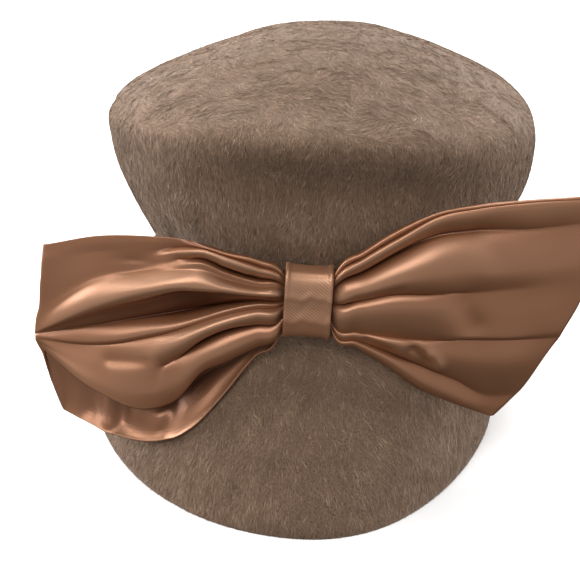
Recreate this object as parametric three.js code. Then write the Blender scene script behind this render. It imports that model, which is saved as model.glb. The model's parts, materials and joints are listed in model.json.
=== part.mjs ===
// Mohair felt hat with a wide satin bow, in millimetres, +Z up, resting on its brim edge.
// The front of the hat faces -Y. Pattern tables are drawn for one head size and graded up.
import * as THREE from 'three';

// Driving dimensions
const headSize = 535; // head opening of the finished hat, measured round
const patternHeadSize = 493; // head opening that the tables below are drawn for
const grade = headSize / patternHeadSize;
const feltThickness = 2.5;
const satinThickness = 1.2;
const bandThickness = 1.7;
const seamGap = 0.3; // clearance between neighbouring pieces
const ringSegments = 44;

// Felt rings, one row each: height of the ring, half width, reach to the front and to the back,
// sideways shift of its middle, how far its front rises, and how square its outline is.
const crownRings = [
  { name: 'tip', height: 175, half: 0, front: 0, back: 0, shift: 5, rise: 0, square: 2.1 },
  { name: 'top inner', height: 168.5, half: 39.5, front: 42, back: 48, shift: 3, rise: 0, square: 2.1 },
  { name: 'top outer', height: 152, half: 80.5, front: 77, back: 85, shift: 5, rise: 3, square: 2.1 },
  { name: 'ridge', height: 139, half: 95.5, front: 95, back: 104, shift: 0, rise: 8, square: 2.15 },
  { name: 'widest', height: 127, half: 96.5, front: 97, back: 108, shift: 0, rise: 6, square: 2.15 },
  { name: 'side', height: 112, half: 94, front: 93.5, back: 105, shift: 1, rise: 1, square: 2.15 },
  { name: 'side foot', height: 94, half: 85, front: 89.5, back: 100, shift: 0, rise: 0, square: 2.1 },
  { name: 'waist', height: 75, half: 77, front: 84, back: 96, shift: 1.5, rise: 0, square: 2 },
];
const brimRings = [
  { name: 'root', height: 61, half: 81.5, front: 89, back: 97.5, shift: 0, rise: 0, square: 2 },
  { name: 'shoulder', height: 54, half: 88, front: 100, back: 101, shift: -1, rise: 0, square: 2 },
  { name: 'middle', height: 31, half: 97, front: 120, back: 105, shift: -3, rise: 0, square: 2 },
  { name: 'edge', height: 0, half: 100.5, front: 139.5, back: 108, shift: -6, rise: 0, square: 2 },
];
const collarTopHeight = 87; // the brim's collar stands up inside the crown
const collarFootHeight = 65;
const bandFootHeight = 67;
const feltSteps = 2; // rings made for each row of a felt table

// Dents pressed into the felt, and fullness where the depth is below zero: azimuth (270 is the
// front), height, spread round, spread up, depth.
const feltDents = [
  { name: 'hollow under the ridge', azimuth: 276, height: 131, around: 22, up: 8, depth: 6 },
  { name: 'left crease', azimuth: 226, height: 92, around: 5, up: 6, depth: 2 },
  { name: 'flat at the back left', azimuth: 129.5, height: 156, around: 39, up: 11, depth: 7.5 },
  { name: 'flat at the brim right', azimuth: 320.5, height: 0, around: 16, up: 25, depth: 2 },
  { name: 'full left shoulder', azimuth: 183, height: 144.5, around: 18, up: 9, depth: -1.5 },
  { name: 'full brim front', azimuth: 286.5, height: 0, around: 12, up: 22, depth: -2.5 },
];

// The bow. Heights are above the knot's middle, reaches are sideways from it, and lifts are
// forward of the bow's base plane.
const knotMiddle = { x: -2.7, height: 84 };
const bowBase = 98; // the base plane lies this far in front of the hat's axis
const wrapBack = 0.0008; // the loops bend back round the hat by this times the reach squared
const knot = {
  width: 18.5, height: 29, back: 89.45, front: 105.4, wall: 1, corner: 4.5,
  pinch: 0.5, // how far the middle of its width is drawn in
  cornerSteps: 4, stations: 4,
};

// Each row is one fold line of the right loop's front layer, from the top edge to the bottom, in
// half millimetres. The columns height and lift go with the reaches, and end is reach, height and
// lift at the loop's end.
const rightReaches = [11, 20, 32, 46, 62];
const rightFolds = [
  {
    name: 'top edge', height: [16, 26, 34.5, 41.5, 44.5],
    lift: [2.5, 3, 3, 2.5, 2], end: [106, 48, 1],
  },
  {
    name: 'outer roll', height: [15, 25, 33, 40, 43.5],
    lift: [5, 5.5, 5, 4, 3.5], end: [106, 47, 1.5],
  },
  {
    name: 'roll gap', height: [12.5, 22, 31, 39, 42.5],
    lift: [4, 5, 4.5, 3.5, 3], end: [106, 46, 1.5],
  },
  {
    name: 'inner roll', height: [11.5, 21, 29.5, 38, 41.5],
    lift: [6.5, 7.5, 7, 5, 4], end: [106, 44.5, 1.5],
  },
  {
    name: 'dark gap', height: [9, 15.5, 24, 34.5, 38],
    lift: [4, 6, 7, 5.5, 3.5], end: [107.5, 40, 1.5],
  },
  {
    name: 'upper belly', height: [8, 14.5, 22.5, 31, 32.5],
    lift: [6.5, 8.5, 10, 11, 10], end: [108.5, 27, 3.5],
  },
  {
    name: 'middle crease', height: [1.5, 5, 9.5, 11, 11],
    lift: [3.5, 6.5, 8, 8.5, 7.5], end: [108, 13, 3.5],
  },
  {
    name: 'middle belly', height: [0, 4, 7, 7.5, 3.5],
    lift: [6, 8, 11, 11.5, 8.5], end: [107, 3, 3.5],
  },
  {
    name: 'crease lip', height: [-5.5, -6.5, -6.5, -7, -7],
    lift: [5, 6.5, 8, 8.5, 8.5], end: [102.5, -8, 4],
  },
  {
    name: 'lower crease', height: [-7.5, -9.5, -10, -9.5, -10],
    lift: [3.5, 4.5, 6, 6.5, 6.5], end: [101.5, -11, 3.5],
  },
  {
    name: 'lower belly', height: [-8.5, -10.5, -11, -12.5, -18.5],
    lift: [4.5, 6, 7.5, 9, 7], end: [96.5, -20, 3.5],
  },
  {
    name: 'bottom valley', height: [-10, -14, -17.5, -22, -25.5],
    lift: [3, 3.5, 4.5, 4.5, 6], end: [88, -33, 3.5],
  },
  {
    name: 'bottom roll', height: [-11, -15, -19, -27.5, -36],
    lift: [4, 5.5, 6, 6.5, 6], end: [82, -42.5, 3.5],
  },
  {
    name: 'bottom edge', height: [-12, -17.5, -25, -34, -41.5],
    lift: [2, 3, 3, 3.5, 4], end: [79, -48.5, 3],
  },
];
const rightBack = [
  {
    name: 'back top', height: [12.5, 21.5, 30, 37.5, 41.5],
    lift: [-2, -2, -2, -2, -2], end: [106, 46.5, -1],
  },
  {
    name: 'back upper', height: [5, 11.5, 18.5, 24, 27.5],
    lift: [-2, -2, -2, -2, -2], end: [108.5, 29, -1],
  },
  {
    name: 'back middle', height: [-2, -1.5, 0, 1, 3],
    lift: [-2, -2, -2, -2, -2], end: [108, 5.5, -1],
  },
  {
    name: 'back lower', height: [-8.5, -12.5, -16, -19.5, -22],
    lift: [-2, -2, -2, -2, -1.5], end: [95.5, -25, -1],
  },
  {
    name: 'back rim', height: [-13.5, -19, -26.5, -36, -43.5],
    lift: [-2, -1.5, -1, 0, 0], end: [79.5, -50, -0.5],
  },
];

// The same for the left loop, whose back layer hangs lower than the front one.
const leftReaches = [11, 20, 32, 46, 62, 82];
const leftFolds = [
  {
    name: 'top edge', height: [14.5, 19.5, 21.5, 23, 23.5, 21.5],
    lift: [2.5, 3, 3, 2, 2, 2], end: [105, 15, 1.5],
  },
  {
    name: 'outer roll', height: [13.5, 18, 20.5, 22, 21, 18.5],
    lift: [4, 4.5, 4.5, 3, 2.5, 2.5], end: [105.5, 12, 2],
  },
  {
    name: 'roll gap', height: [12.5, 16, 19, 21, 18, 16],
    lift: [3, 4.5, 5, 4.5, 2.5, 2.5], end: [106, 9, 2.5],
  },
  {
    name: 'rolled rim', height: [11, 15, 17.5, 20, 15.5, 13],
    lift: [4.5, 6, 6.5, 5.5, 3, 3], end: [106.5, 5, 2.5],
  },
  {
    name: 'dark pocket', height: [8.5, 10, 13, 18.5, 12.5, 10],
    lift: [2.5, 3, 4, 5, 4, 3.5], end: [107.5, -2, 2.5],
  },
  {
    name: 'pocket ridge', height: [7.5, 9, 12, 17, 11, 6],
    lift: [4, 4.5, 5.5, 6.5, 6, 4], end: [108.5, -11, 2.5],
  },
  {
    name: 'panel foot', height: [6.5, 7.5, 10.5, 15.5, 10, 4],
    lift: [4, 5.5, 7, 8.5, 7.5, 6.5], end: [110, -17.5, 2.5],
  },
  {
    name: 'main belly', height: [5.5, 6.5, 9.5, 13, 9, 2.5],
    lift: [6, 7, 8.5, 11, 9, 8.5], end: [111.5, -24, 2.5],
  },
  {
    name: 'deep valley', height: [1, 1, 1, -1.5, -6.5, -13.5],
    lift: [3, 4, 5, 5.5, 5.5, 6], end: [111.5, -25, 2.5],
  },
  {
    name: 'fine ridge', height: [0, 0, -1.5, -7, -14, -20.5],
    lift: [4, 5.5, 8, 9, 9, 7.5], end: [111.5, -26.5, 3],
  },
  {
    name: 'fine valley', height: [-1, -1, -3.5, -9, -16, -23],
    lift: [4, 6, 8, 9, 8, 6.5], end: [111, -27.5, 3],
  },
  {
    name: 'tube', height: [-2, -2, -5, -10, -18.5, -27],
    lift: [5.5, 7, 9.5, 10.5, 11, 9.5], end: [110, -28.5, 3],
  },
  {
    name: 'lower valley', height: [-8.5, -11.5, -15, -20.5, -28, -31],
    lift: [3, 3.5, 5, 7, 9.5, 9], end: [109.5, -29.5, 3],
  },
  {
    name: 'bottom fold', height: [-10.5, -14, -18, -27, -36.5, -35.5],
    lift: [4.5, 6, 8, 9.5, 10, 8.5], end: [108.5, -31, 3],
  },
  {
    name: 'bottom edge', height: [-15, -19, -24.5, -33.5, -44, -40],
    lift: [2.5, 4, 6.5, 8.5, 9, 8.5], end: [107.5, -32, 3],
  },
];
const leftBack = [
  {
    name: 'back top', height: [11, 15, 17.5, 20.5, 21, 19],
    lift: [-2, -2, -2, -2, -2, -2], end: [105, 13, -1],
  },
  {
    name: 'back upper', height: [4, 4, 4.5, 4.5, 3.5, 0],
    lift: [-2, -2, -2, -2, -2, -2], end: [107, -7.5, -1],
  },
  {
    name: 'back middle', height: [-6.5, -9.5, -12.5, -17, -21, -25],
    lift: [-2, -2, -2, -1.5, -1, -1], end: [107, -27.5, -1],
  },
  {
    name: 'back lower', height: [-11.5, -19.5, -28, -39, -47, -45],
    lift: [-2, -2, -1, 0.5, 1.5, 1], end: [101, -39, 0],
  },
  {
    name: 'back shelf', height: [-14, -22.5, -35.5, -49, -57, -56],
    lift: [-2, -1, 3, 8, 6.5, 4], end: [101, -49.5, 1],
  },
  {
    name: 'back rim', height: [-17, -25.5, -40.5, -56, -64.5, -64],
    lift: [-0.5, 1.5, 8.5, 14, 12.5, 9.5], end: [101, -60.5, 2.5],
  },
];
const gatherReaches = [1.5, 9.4]; // the stretch of a loop that is gathered inside the knot
const frontGather = { base: 1, share: 0.45 }; // lift there: a base and a share of the fold's own lift
const backGather = { base: -2.2, share: 0 };
const loopEndBulge = 1.5; // how far the turn at a loop's end stands out past its layers
const loopSteps = { across: 2, frontAlong: 2, backAlong: 1, turn: 3 };

// Catmull-Rom value at a position along a list, where 0 is the first entry
function smoothAt(values, position) {
  const last = values.length - 1;
  const index = Math.min(Math.floor(position), last - 1);
  const t = position - index;
  const p1 = values[index];
  const p2 = values[index + 1];
  const p0 = index > 0 ? values[index - 1] : 2 * p1 - p2;
  const p3 = index + 2 <= last ? values[index + 2] : 2 * p2 - p1;
  const cubic = (3 * (p1 - p2) + p3 - p0) * t * t * t;
  const square = (2 * p0 - 5 * p1 + 4 * p2 - p3) * t * t;
  return 0.5 * (2 * p1 + (p2 - p0) * t + square + cubic);
}

// Point of a felt ring at an azimuth, before any dent
function ringPoint(ring, azimuth) {
  const cosine = Math.cos(azimuth);
  const sine = Math.sin(azimuth);
  const power = 2 / ring.square;
  const depth = sine < 0 ? ring.front : ring.back;
  const x = ring.shift + ring.half * Math.sign(cosine) * Math.abs(cosine) ** power;
  const y = depth * Math.sign(sine) * Math.abs(sine) ** power;
  const z = ring.height + (sine < 0 ? ring.rise * sine * sine : 0);
  return new THREE.Vector3(x, y, z);
}

// How far the dents push a felt point towards the axis
function dentDepth(point, azimuth) {
  const degrees = THREE.MathUtils.radToDeg(azimuth);
  let depth = 0;
  for (const dent of feltDents) {
    const around = (degrees - dent.azimuth) / dent.around;
    const up = (point.z - dent.height) / dent.up;
    depth += dent.depth * Math.exp(-0.5 * (around * around + up * up));
  }
  return depth;
}

// Rings of points on the felt's outer surface, from the first ring of the table to the last
function feltGrid(rings, stepsPerRow) {
  const count = (rings.length - 1) * stepsPerRow;
  const grid = [];
  for (let step = 0; step <= count; step++) {
    const position = step / stepsPerRow;
    const ring = {};
    for (const column of ['height', 'half', 'front', 'back', 'shift', 'rise', 'square']) {
      ring[column] = smoothAt(rings.map((row) => row[column]), position);
    }
    const points = [];
    for (let segment = 0; segment < ringSegments; segment++) {
      const azimuth = (segment / ringSegments) * 2 * Math.PI;
      const point = ringPoint(ring, azimuth);
      const radius = Math.hypot(point.x, point.y);
      if (radius > 1) {
        const shrink = 1 - dentDepth(point, azimuth) / radius;
        point.x *= shrink;
        point.y *= shrink;
      }
      points.push(point.multiplyScalar(grade));
    }
    grid.push(points);
  }
  return grid;
}

// The surface normal of a grid at one of its points, from its neighbours
function gridNormal(grid, row, column, closedRound) {
  const columns = grid[0].length;
  const before = closedRound ? (column + columns - 1) % columns : Math.max(column - 1, 0);
  const after = closedRound ? (column + 1) % columns : Math.min(column + 1, columns - 1);
  const above = grid[Math.max(row - 1, 0)][column];
  const below = grid[Math.min(row + 1, grid.length - 1)][column];
  const along = grid[row][after].clone().sub(grid[row][before]);
  const down = below.clone().sub(above);
  return down.cross(along).normalize();
}

// The same grid moved by a distance along its normals; a rim keeps its height
function offsetGrid(grid, distance, closedRound, flatRims = []) {
  return grid.map((points, row) => points.map((point, column) => {
    const normal = gridNormal(grid, row, column, closedRound);
    if (flatRims.includes(row)) {
      normal.z = 0;
      normal.normalize();
    }
    return point.clone().addScaledVector(normal, distance);
  }));
}

// A mesh from named vertices and triangles
function meshOf(name, vertices, triangles, material) {
  const geometry = new THREE.BufferGeometry();
  const positions = vertices.flatMap((vertex) => vertex.toArray());
  geometry.setAttribute('position', new THREE.Float32BufferAttribute(positions, 3));
  geometry.setIndex(triangles.flat());
  geometry.computeVertexNormals();
  const mesh = new THREE.Mesh(geometry, material);
  mesh.name = name;
  return mesh;
}

// A closed wall between an outer and an inner stack of rings. Without a cap both ends are rims;
// with one, the first row of each stack is a single pole.
function ringWall(name, outer, inner, capped, material) {
  const rows = outer.length;
  const columns = outer[0].length;
  const vertices = [];
  const triangles = [];
  const place = (grid) => grid.map((points, row) => {
    if (capped && row === 0) {
      vertices.push(points[0]);
      return points.map(() => vertices.length - 1);
    }
    return points.map((point) => vertices.push(point) - 1);
  });
  const out = place(outer);
  const inn = place(inner);
  const quad = (a, b, c, d) => { // a and b are one point at a pole
    if (a !== b) triangles.push([a, b, c]);
    triangles.push([a, c, d]);
  };
  for (let column = 0; column < columns; column++) {
    const next = (column + 1) % columns;
    for (let row = 0; row < rows - 1; row++) {
      quad(out[row][next], out[row][column], out[row + 1][column], out[row + 1][next]);
      quad(inn[row][column], inn[row][next], inn[row + 1][next], inn[row + 1][column]);
    }
    const last = rows - 1;
    quad(out[last][next], out[last][column], inn[last][column], inn[last][next]);
    if (!capped) quad(out[0][column], out[0][next], inn[0][next], inn[0][column]);
  }
  return meshOf(name, vertices, triangles, material);
}

// A closed sheet of even thickness on a grid of points
function sheetSolid(name, grid, thickness, material) {
  const front = offsetGrid(grid, thickness / 2, false);
  const back = offsetGrid(grid, -thickness / 2, false);
  const rows = grid.length;
  const columns = grid[0].length;
  const vertices = [...front.flat(), ...back.flat()];
  const triangles = [];
  const at = (layer, row, column) => layer * rows * columns + row * columns + column;
  const quad = (a, b, c, d) => triangles.push([a, b, c], [a, c, d]);
  for (let row = 0; row < rows - 1; row++) {
    for (let column = 0; column < columns - 1; column++) {
      quad(at(0, row, column), at(0, row + 1, column), at(0, row + 1, column + 1), at(0, row, column + 1));
      quad(at(1, row, column), at(1, row, column + 1), at(1, row + 1, column + 1), at(1, row + 1, column));
    }
  }
  for (let row = 0; row < rows - 1; row++) {
    const end = columns - 1;
    quad(at(0, row, 0), at(1, row, 0), at(1, row + 1, 0), at(0, row + 1, 0));
    quad(at(0, row, end), at(0, row + 1, end), at(1, row + 1, end), at(1, row, end));
  }
  for (let column = 0; column < columns - 1; column++) {
    const end = rows - 1;
    quad(at(0, 0, column), at(0, 0, column + 1), at(1, 0, column + 1), at(1, 0, column));
    quad(at(0, end, column), at(1, end, column), at(1, end, column + 1), at(0, end, column + 1));
  }
  return meshOf(name, vertices, triangles, material);
}

// A point of the bow from its reach, height and lift, on the left (-1) or right (+1) side
function bowPoint(side, reach, height, lift) {
  const x = knotMiddle.x + side * reach;
  const y = -(bowBase + lift) + wrapBack * reach * reach;
  return new THREE.Vector3(x, y, knotMiddle.height + height).multiplyScalar(grade);
}

// The fold lines of one layer as reach, height and lift at each station from the knot to the end
function layerLines(folds, reaches, gatherHalf, gatherLift) {
  const heightsAtKnot = folds.map((fold) => fold.height[0]);
  const tallest = Math.max(...heightsAtKnot.map(Math.abs));
  return folds.map((fold) => {
    const height = (fold.height[0] / tallest) * gatherHalf;
    const lift = gatherLift.base + fold.lift[0] * gatherLift.share;
    const inside = gatherReaches.map((reach) => ({ reach, height, lift }));
    const outside = reaches.map((reach, i) => ({ reach, height: fold.height[i], lift: fold.lift[i] }));
    const end = { reach: fold.end[0], height: fold.end[1], lift: fold.end[2] };
    return [...inside, ...outside, end];
  });
}

// One layer of a loop sampled down its width (across) at each station and between stations (along)
function layerGrid(lines, across, along) {
  const stations = lines[0].length - 1;
  const grid = [];
  for (let step = 0; step <= stations * along; step++) {
    const u = step / along;
    const column = [];
    for (let i = 0; i <= across; i++) {
      const v = (i / across) * (lines.length - 1);
      const value = (key) => smoothAt(lines.map((line) => smoothAt(line.map((p) => p[key]), u)), v);
      column.push({ reach: value('reach'), height: value('height'), lift: value('lift') });
    }
    grid.push(column);
  }
  return grid;
}

// A whole loop: front layer out to the end, a tight turn, and the back layer in to the knot again
function loopSolid(name, side, folds, backRows, reaches, material) {
  const across = loopSteps.across * (folds.length - 1);
  const ringHalf = knot.height / 2 - knot.wall - knot.pinch;
  const gatherHalf = ringHalf - seamGap - satinThickness / 2;
  const frontLines = layerLines(folds, reaches, gatherHalf, frontGather);
  const backLines = layerLines(backRows, reaches, gatherHalf, backGather);
  const front = layerGrid(frontLines, across, loopSteps.frontAlong);
  const back = layerGrid(backLines, across, loopSteps.backAlong).reverse();
  const outer = front[front.length - 1];
  const inner = back[0];
  const turn = [];
  for (let step = 1; step < loopSteps.turn; step++) {
    const angle = (step / loopSteps.turn) * Math.PI;
    const share = (1 - Math.cos(angle)) / 2;
    const bulge = loopEndBulge * Math.sin(angle);
    turn.push(outer.map((point, i) => ({
      reach: THREE.MathUtils.lerp(point.reach, inner[i].reach, share) + bulge,
      height: THREE.MathUtils.lerp(point.height, inner[i].height, share),
      lift: THREE.MathUtils.lerp(point.lift, inner[i].lift, share),
    })));
  }
  const stations = [...front, ...turn, ...back];
  const grid = stations.map((column) => column.map((p) => bowPoint(side, p.reach, p.height, p.lift)));
  if (side < 0) grid.reverse();
  return sheetSolid(name, grid, satinThickness, material);
}

// The knot: a band of satin wrapped round the middle, as a ring with rounded corners that is
// pinched a little in the middle of its width
function knotSolid(material) {
  const { cornerSteps, stations } = knot;
  const section = (inset) => {
    const halfHeight = knot.height / 2 - inset;
    const halfDepth = (knot.front - knot.back) / 2 - inset;
    const radius = knot.corner - inset;
    const points = [];
    for (let corner = 0; corner < 4; corner++) {
      const start = corner * 0.5 * Math.PI;
      const signY = corner === 0 || corner === 3 ? 1 : -1;
      const signZ = corner < 2 ? 1 : -1;
      for (let step = 0; step <= cornerSteps; step++) {
        const angle = start + (step / cornerSteps) * 0.5 * Math.PI;
        const y = signY * (halfDepth - radius) + radius * Math.cos(angle);
        const z = signZ * (halfHeight - radius) + radius * Math.sin(angle);
        points.push({ y, z });
      }
    }
    return points;
  };
  const middleDepth = (knot.front + knot.back) / 2;
  const stack = (inset) => {
    const rows = [];
    for (let station = 0; station <= stations; station++) {
      const t = 0.5 - station / stations;
      const pinch = knot.pinch * (1 - 4 * t * t);
      rows.push(section(inset + pinch).map((p) => new THREE.Vector3(
        knotMiddle.x + t * knot.width,
        -middleDepth + p.y,
        knotMiddle.height + p.z,
      ).multiplyScalar(grade)));
    }
    return rows;
  };
  return ringWall('bow_knot', stack(0), stack(knot.wall), false, material);
}

const feltMaterial = new THREE.MeshStandardMaterial({ color: 0x8f7360, roughness: 0.95, metalness: 0 });
const brimMaterial = feltMaterial.clone();
const bandMaterial = new THREE.MeshStandardMaterial({ color: 0x8d6146, roughness: 0.4, metalness: 0 });
const leftMaterial = bandMaterial.clone();
const rightMaterial = bandMaterial.clone();
const knotMaterial = new THREE.MeshStandardMaterial({ color: 0xa87c60, roughness: 0.4, metalness: 0 });

// Crown: one blocked felt shell, open below
function crownSolid() {
  const outer = feltGrid(crownRings, feltSteps);
  const inner = offsetGrid(outer, -feltThickness, true, [outer.length - 1]);
  const top = outer[0][0];
  inner[0].forEach((point) => point.set(top.x, top.y, top.z - feltThickness));
  return ringWall('crown', outer, inner, true, feltMaterial);
}

// A ring drawn in from the waist by a distance, at a height of its own
function waistRing(inset, height) {
  const waist = crownRings[crownRings.length - 1];
  const drawn = inset / grade;
  return {
    ...waist, height, half: waist.half - drawn, front: waist.front - drawn, back: waist.back - drawn,
  };
}

// Brim: a felt collar inside the crown that turns out under the band and down to the edge
function brimSolid() {
  const collarInset = feltThickness + seamGap;
  const rings = [
    waistRing(collarInset, collarTopHeight),
    waistRing(collarInset, collarFootHeight),
    ...brimRings,
  ];
  const outer = feltGrid(rings, feltSteps);
  const inner = offsetGrid(outer, -feltThickness, true, [0, outer.length - 1]);
  return ringWall('brim', outer, inner, false, brimMaterial);
}

// Waist band: flat satin round the collar, tucked under the crown's edge
function bandSolid() {
  const innerInset = feltThickness;
  const outerInset = innerInset - bandThickness;
  const waistHeight = crownRings[crownRings.length - 1].height;
  const heights = [waistHeight - seamGap, bandFootHeight];
  const outer = feltGrid(heights.map((height) => waistRing(outerInset, height)), 1);
  const inner = feltGrid(heights.map((height) => waistRing(innerInset, height)), 1);
  return ringWall('waist_band', outer, inner, false, bandMaterial);
}

const hat = new THREE.Group();
hat.add(crownSolid());
hat.add(brimSolid());
hat.add(bandSolid());
hat.add(loopSolid('bow_left_loop', -1, leftFolds, leftBack, leftReaches, leftMaterial));
hat.add(loopSolid('bow_right_loop', 1, rightFolds, rightBack, rightReaches, rightMaterial));
hat.add(knotSolid(knotMaterial));

// The origin is on the resting plane under the middle of the whole object
const bounds = new THREE.Box3().setFromObject(hat);
const middle = bounds.getCenter(new THREE.Vector3());
hat.position.set(-middle.x, -middle.y, -bounds.min.z);

export default hat;
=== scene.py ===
import json
import math
import bmesh
import bpy
import numpy as np
from mathutils import Matrix, Vector
from mathutils.bvhtree import BVHTree

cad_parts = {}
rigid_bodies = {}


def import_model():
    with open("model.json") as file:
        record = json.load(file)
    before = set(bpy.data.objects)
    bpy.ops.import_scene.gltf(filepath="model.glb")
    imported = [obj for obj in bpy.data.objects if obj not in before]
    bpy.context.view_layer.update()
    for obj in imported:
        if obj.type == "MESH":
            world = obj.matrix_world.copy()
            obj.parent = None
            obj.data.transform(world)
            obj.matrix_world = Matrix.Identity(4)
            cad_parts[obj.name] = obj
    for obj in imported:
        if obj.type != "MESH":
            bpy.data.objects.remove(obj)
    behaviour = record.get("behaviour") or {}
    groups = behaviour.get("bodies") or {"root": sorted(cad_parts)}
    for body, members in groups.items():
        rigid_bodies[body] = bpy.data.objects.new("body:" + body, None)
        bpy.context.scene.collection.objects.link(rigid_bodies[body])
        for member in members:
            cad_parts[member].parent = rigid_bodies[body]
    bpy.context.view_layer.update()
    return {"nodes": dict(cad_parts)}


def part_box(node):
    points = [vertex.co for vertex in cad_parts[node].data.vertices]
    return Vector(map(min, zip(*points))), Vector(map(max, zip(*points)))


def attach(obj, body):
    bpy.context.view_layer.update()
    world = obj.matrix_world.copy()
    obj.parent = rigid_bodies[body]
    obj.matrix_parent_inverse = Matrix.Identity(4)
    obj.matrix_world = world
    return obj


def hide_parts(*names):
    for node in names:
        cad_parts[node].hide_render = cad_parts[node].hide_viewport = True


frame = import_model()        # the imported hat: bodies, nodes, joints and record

# Mohair felt hat with a folded satin bow. The solids give every place; the looks are made here.

mm = 0.001

# The bow's tables are drawn at pattern size, as the solids are, and graded to the knot that was made.
pattern = {
    "knotX": -2.7, "knotHeight": 84, "knotTall": 29, "knotBack": 89.45, "knotFront": 105.4,
    "knotWide": 18.5, "bowBase": 98, "wrapBack": 0.0008,
}
knotLow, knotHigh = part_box("bow_knot")
grade = (knotHigh.z - knotLow.z) / (pattern["knotTall"] * mm)
axisX = (knotLow.x + knotHigh.x) / 2 - grade * pattern["knotX"] * mm
axisY = (knotLow.y + knotHigh.y) / 2 + grade * (pattern["knotBack"] + pattern["knotFront"]) / 2 * mm


def toHat(points):
    # pattern millimetres to metres in the hat's own frame
    return np.asarray(points, float) * grade * mm + np.array([axisX, axisY, 0.0])


def deselectAll():
    for item in bpy.context.view_layer.objects:
        item.select_set(False)


def makeActive(piece):
    deselectAll()
    piece.select_set(True)
    bpy.context.view_layer.objects.active = piece


def applyAll(piece):
    makeActive(piece)
    for modifier in list(piece.modifiers):
        bpy.ops.object.modifier_apply(modifier=modifier.name)


def softNoise(points, wavelength, seed, waves=9):
    # smooth noise between about -1 and 1, as a sum of waves in random directions
    rng = np.random.default_rng(seed)
    total = np.zeros(len(points))
    for _ in range(waves):
        way = rng.normal(size=3)
        way /= np.linalg.norm(way)
        length = wavelength * rng.uniform(0.6, 1.6)
        total += np.sin(points @ way * 2 * math.pi / length + rng.uniform(0, 2 * math.pi))
    return total / math.sqrt(waves)


def unit(vectors):
    return vectors / np.maximum(np.linalg.norm(vectors, axis=-1, keepdims=True), 1e-12)


# Materials

def newMaterial(name):
    material = bpy.data.materials.new(name)
    material.use_nodes = True
    nodes = material.node_tree.nodes
    return material, nodes, material.node_tree.links, nodes["Principled BSDF"]


def addNode(nodes, kind, **values):
    node = nodes.new(kind)
    for key, value in values.items():
        if hasattr(node, key):
            setattr(node, key, value)
        else:
            node.inputs[key.replace("_", " ")].default_value = value
    return node


feltLook = {
    "shadow": (0.070, 0.041, 0.025, 1), "middle": (0.142, 0.087, 0.054, 1), "light": (0.218, 0.139, 0.091, 1),
    "pale": (0.410, 0.295, 0.210, 1), "roughness": 0.9, "sheen": 0.30, "grain": 1700, "grainStretch": 0.13,
    "swirl": 0.006, "swirlScale": 26,
}


def feltMaterial():
    # felt under the nap: matt, streaked with fine brushed hairs that run down the walls and sideways on top
    material, nodes, links, shader = newMaterial("feltGround")
    where = addNode(nodes, "ShaderNodeTexCoord")
    swirl = addNode(nodes, "ShaderNodeTexNoise", Scale=feltLook["swirlScale"], Detail=1)
    links.new(where.outputs["Object"], swirl.inputs["Vector"])
    shift = addNode(nodes, "ShaderNodeVectorMath", operation="SCALE")
    shift.inputs["Scale"].default_value = feltLook["swirl"]
    links.new(swirl.outputs["Color"], shift.inputs[0])
    warped = addNode(nodes, "ShaderNodeVectorMath", operation="ADD")
    links.new(where.outputs["Object"], warped.inputs[0])
    links.new(shift.outputs["Vector"], warped.inputs[1])
    grains = []
    for turn, stretch in ((0, (1, 1, feltLook["grainStretch"])), (-41, (feltLook["grainStretch"], 1, 1))):
        mapping = addNode(nodes, "ShaderNodeMapping")
        mapping.inputs["Rotation"].default_value = (0, 0, math.radians(-turn))
        links.new(warped.outputs["Vector"], mapping.inputs["Vector"])
        squeeze = addNode(nodes, "ShaderNodeVectorMath", operation="MULTIPLY")
        squeeze.inputs[1].default_value = stretch
        links.new(mapping.outputs["Vector"], squeeze.inputs[0])
        grain = addNode(nodes, "ShaderNodeTexNoise", Scale=feltLook["grain"], Detail=2)
        links.new(squeeze.outputs["Vector"], grain.inputs["Vector"])
        grains.append(grain)
    flat = addNode(nodes, "ShaderNodeAttribute", attribute_name="flat")
    both = addNode(nodes, "ShaderNodeMixRGB")
    links.new(flat.outputs["Fac"], both.inputs["Fac"])
    links.new(grains[0].outputs["Fac"], both.inputs["Color1"])
    links.new(grains[1].outputs["Fac"], both.inputs["Color2"])
    ramp = addNode(nodes, "ShaderNodeValToRGB")
    ramp.color_ramp.elements[0].position = 0.30
    ramp.color_ramp.elements[0].color = feltLook["shadow"]
    ramp.color_ramp.elements[1].position = 0.70
    ramp.color_ramp.elements[1].color = feltLook["light"]
    links.new(both.outputs["Color"], ramp.inputs["Fac"])
    links.new(ramp.outputs["Color"], shader.inputs["Base Color"])
    bump = addNode(nodes, "ShaderNodeBump", Strength=0.6, Distance=0.0004)
    links.new(both.outputs["Color"], bump.inputs["Height"])
    links.new(bump.outputs["Normal"], shader.inputs["Normal"])
    shader.inputs["Roughness"].default_value = feltLook["roughness"]
    shader.inputs["Specular IOR Level"].default_value = 0.15
    shader.inputs["Sheen Weight"].default_value = feltLook["sheen"]
    shader.inputs["Sheen Roughness"].default_value = 0.5
    shader.inputs["Sheen Tint"].default_value = (1.0, 0.86, 0.74, 1)
    return material


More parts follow.
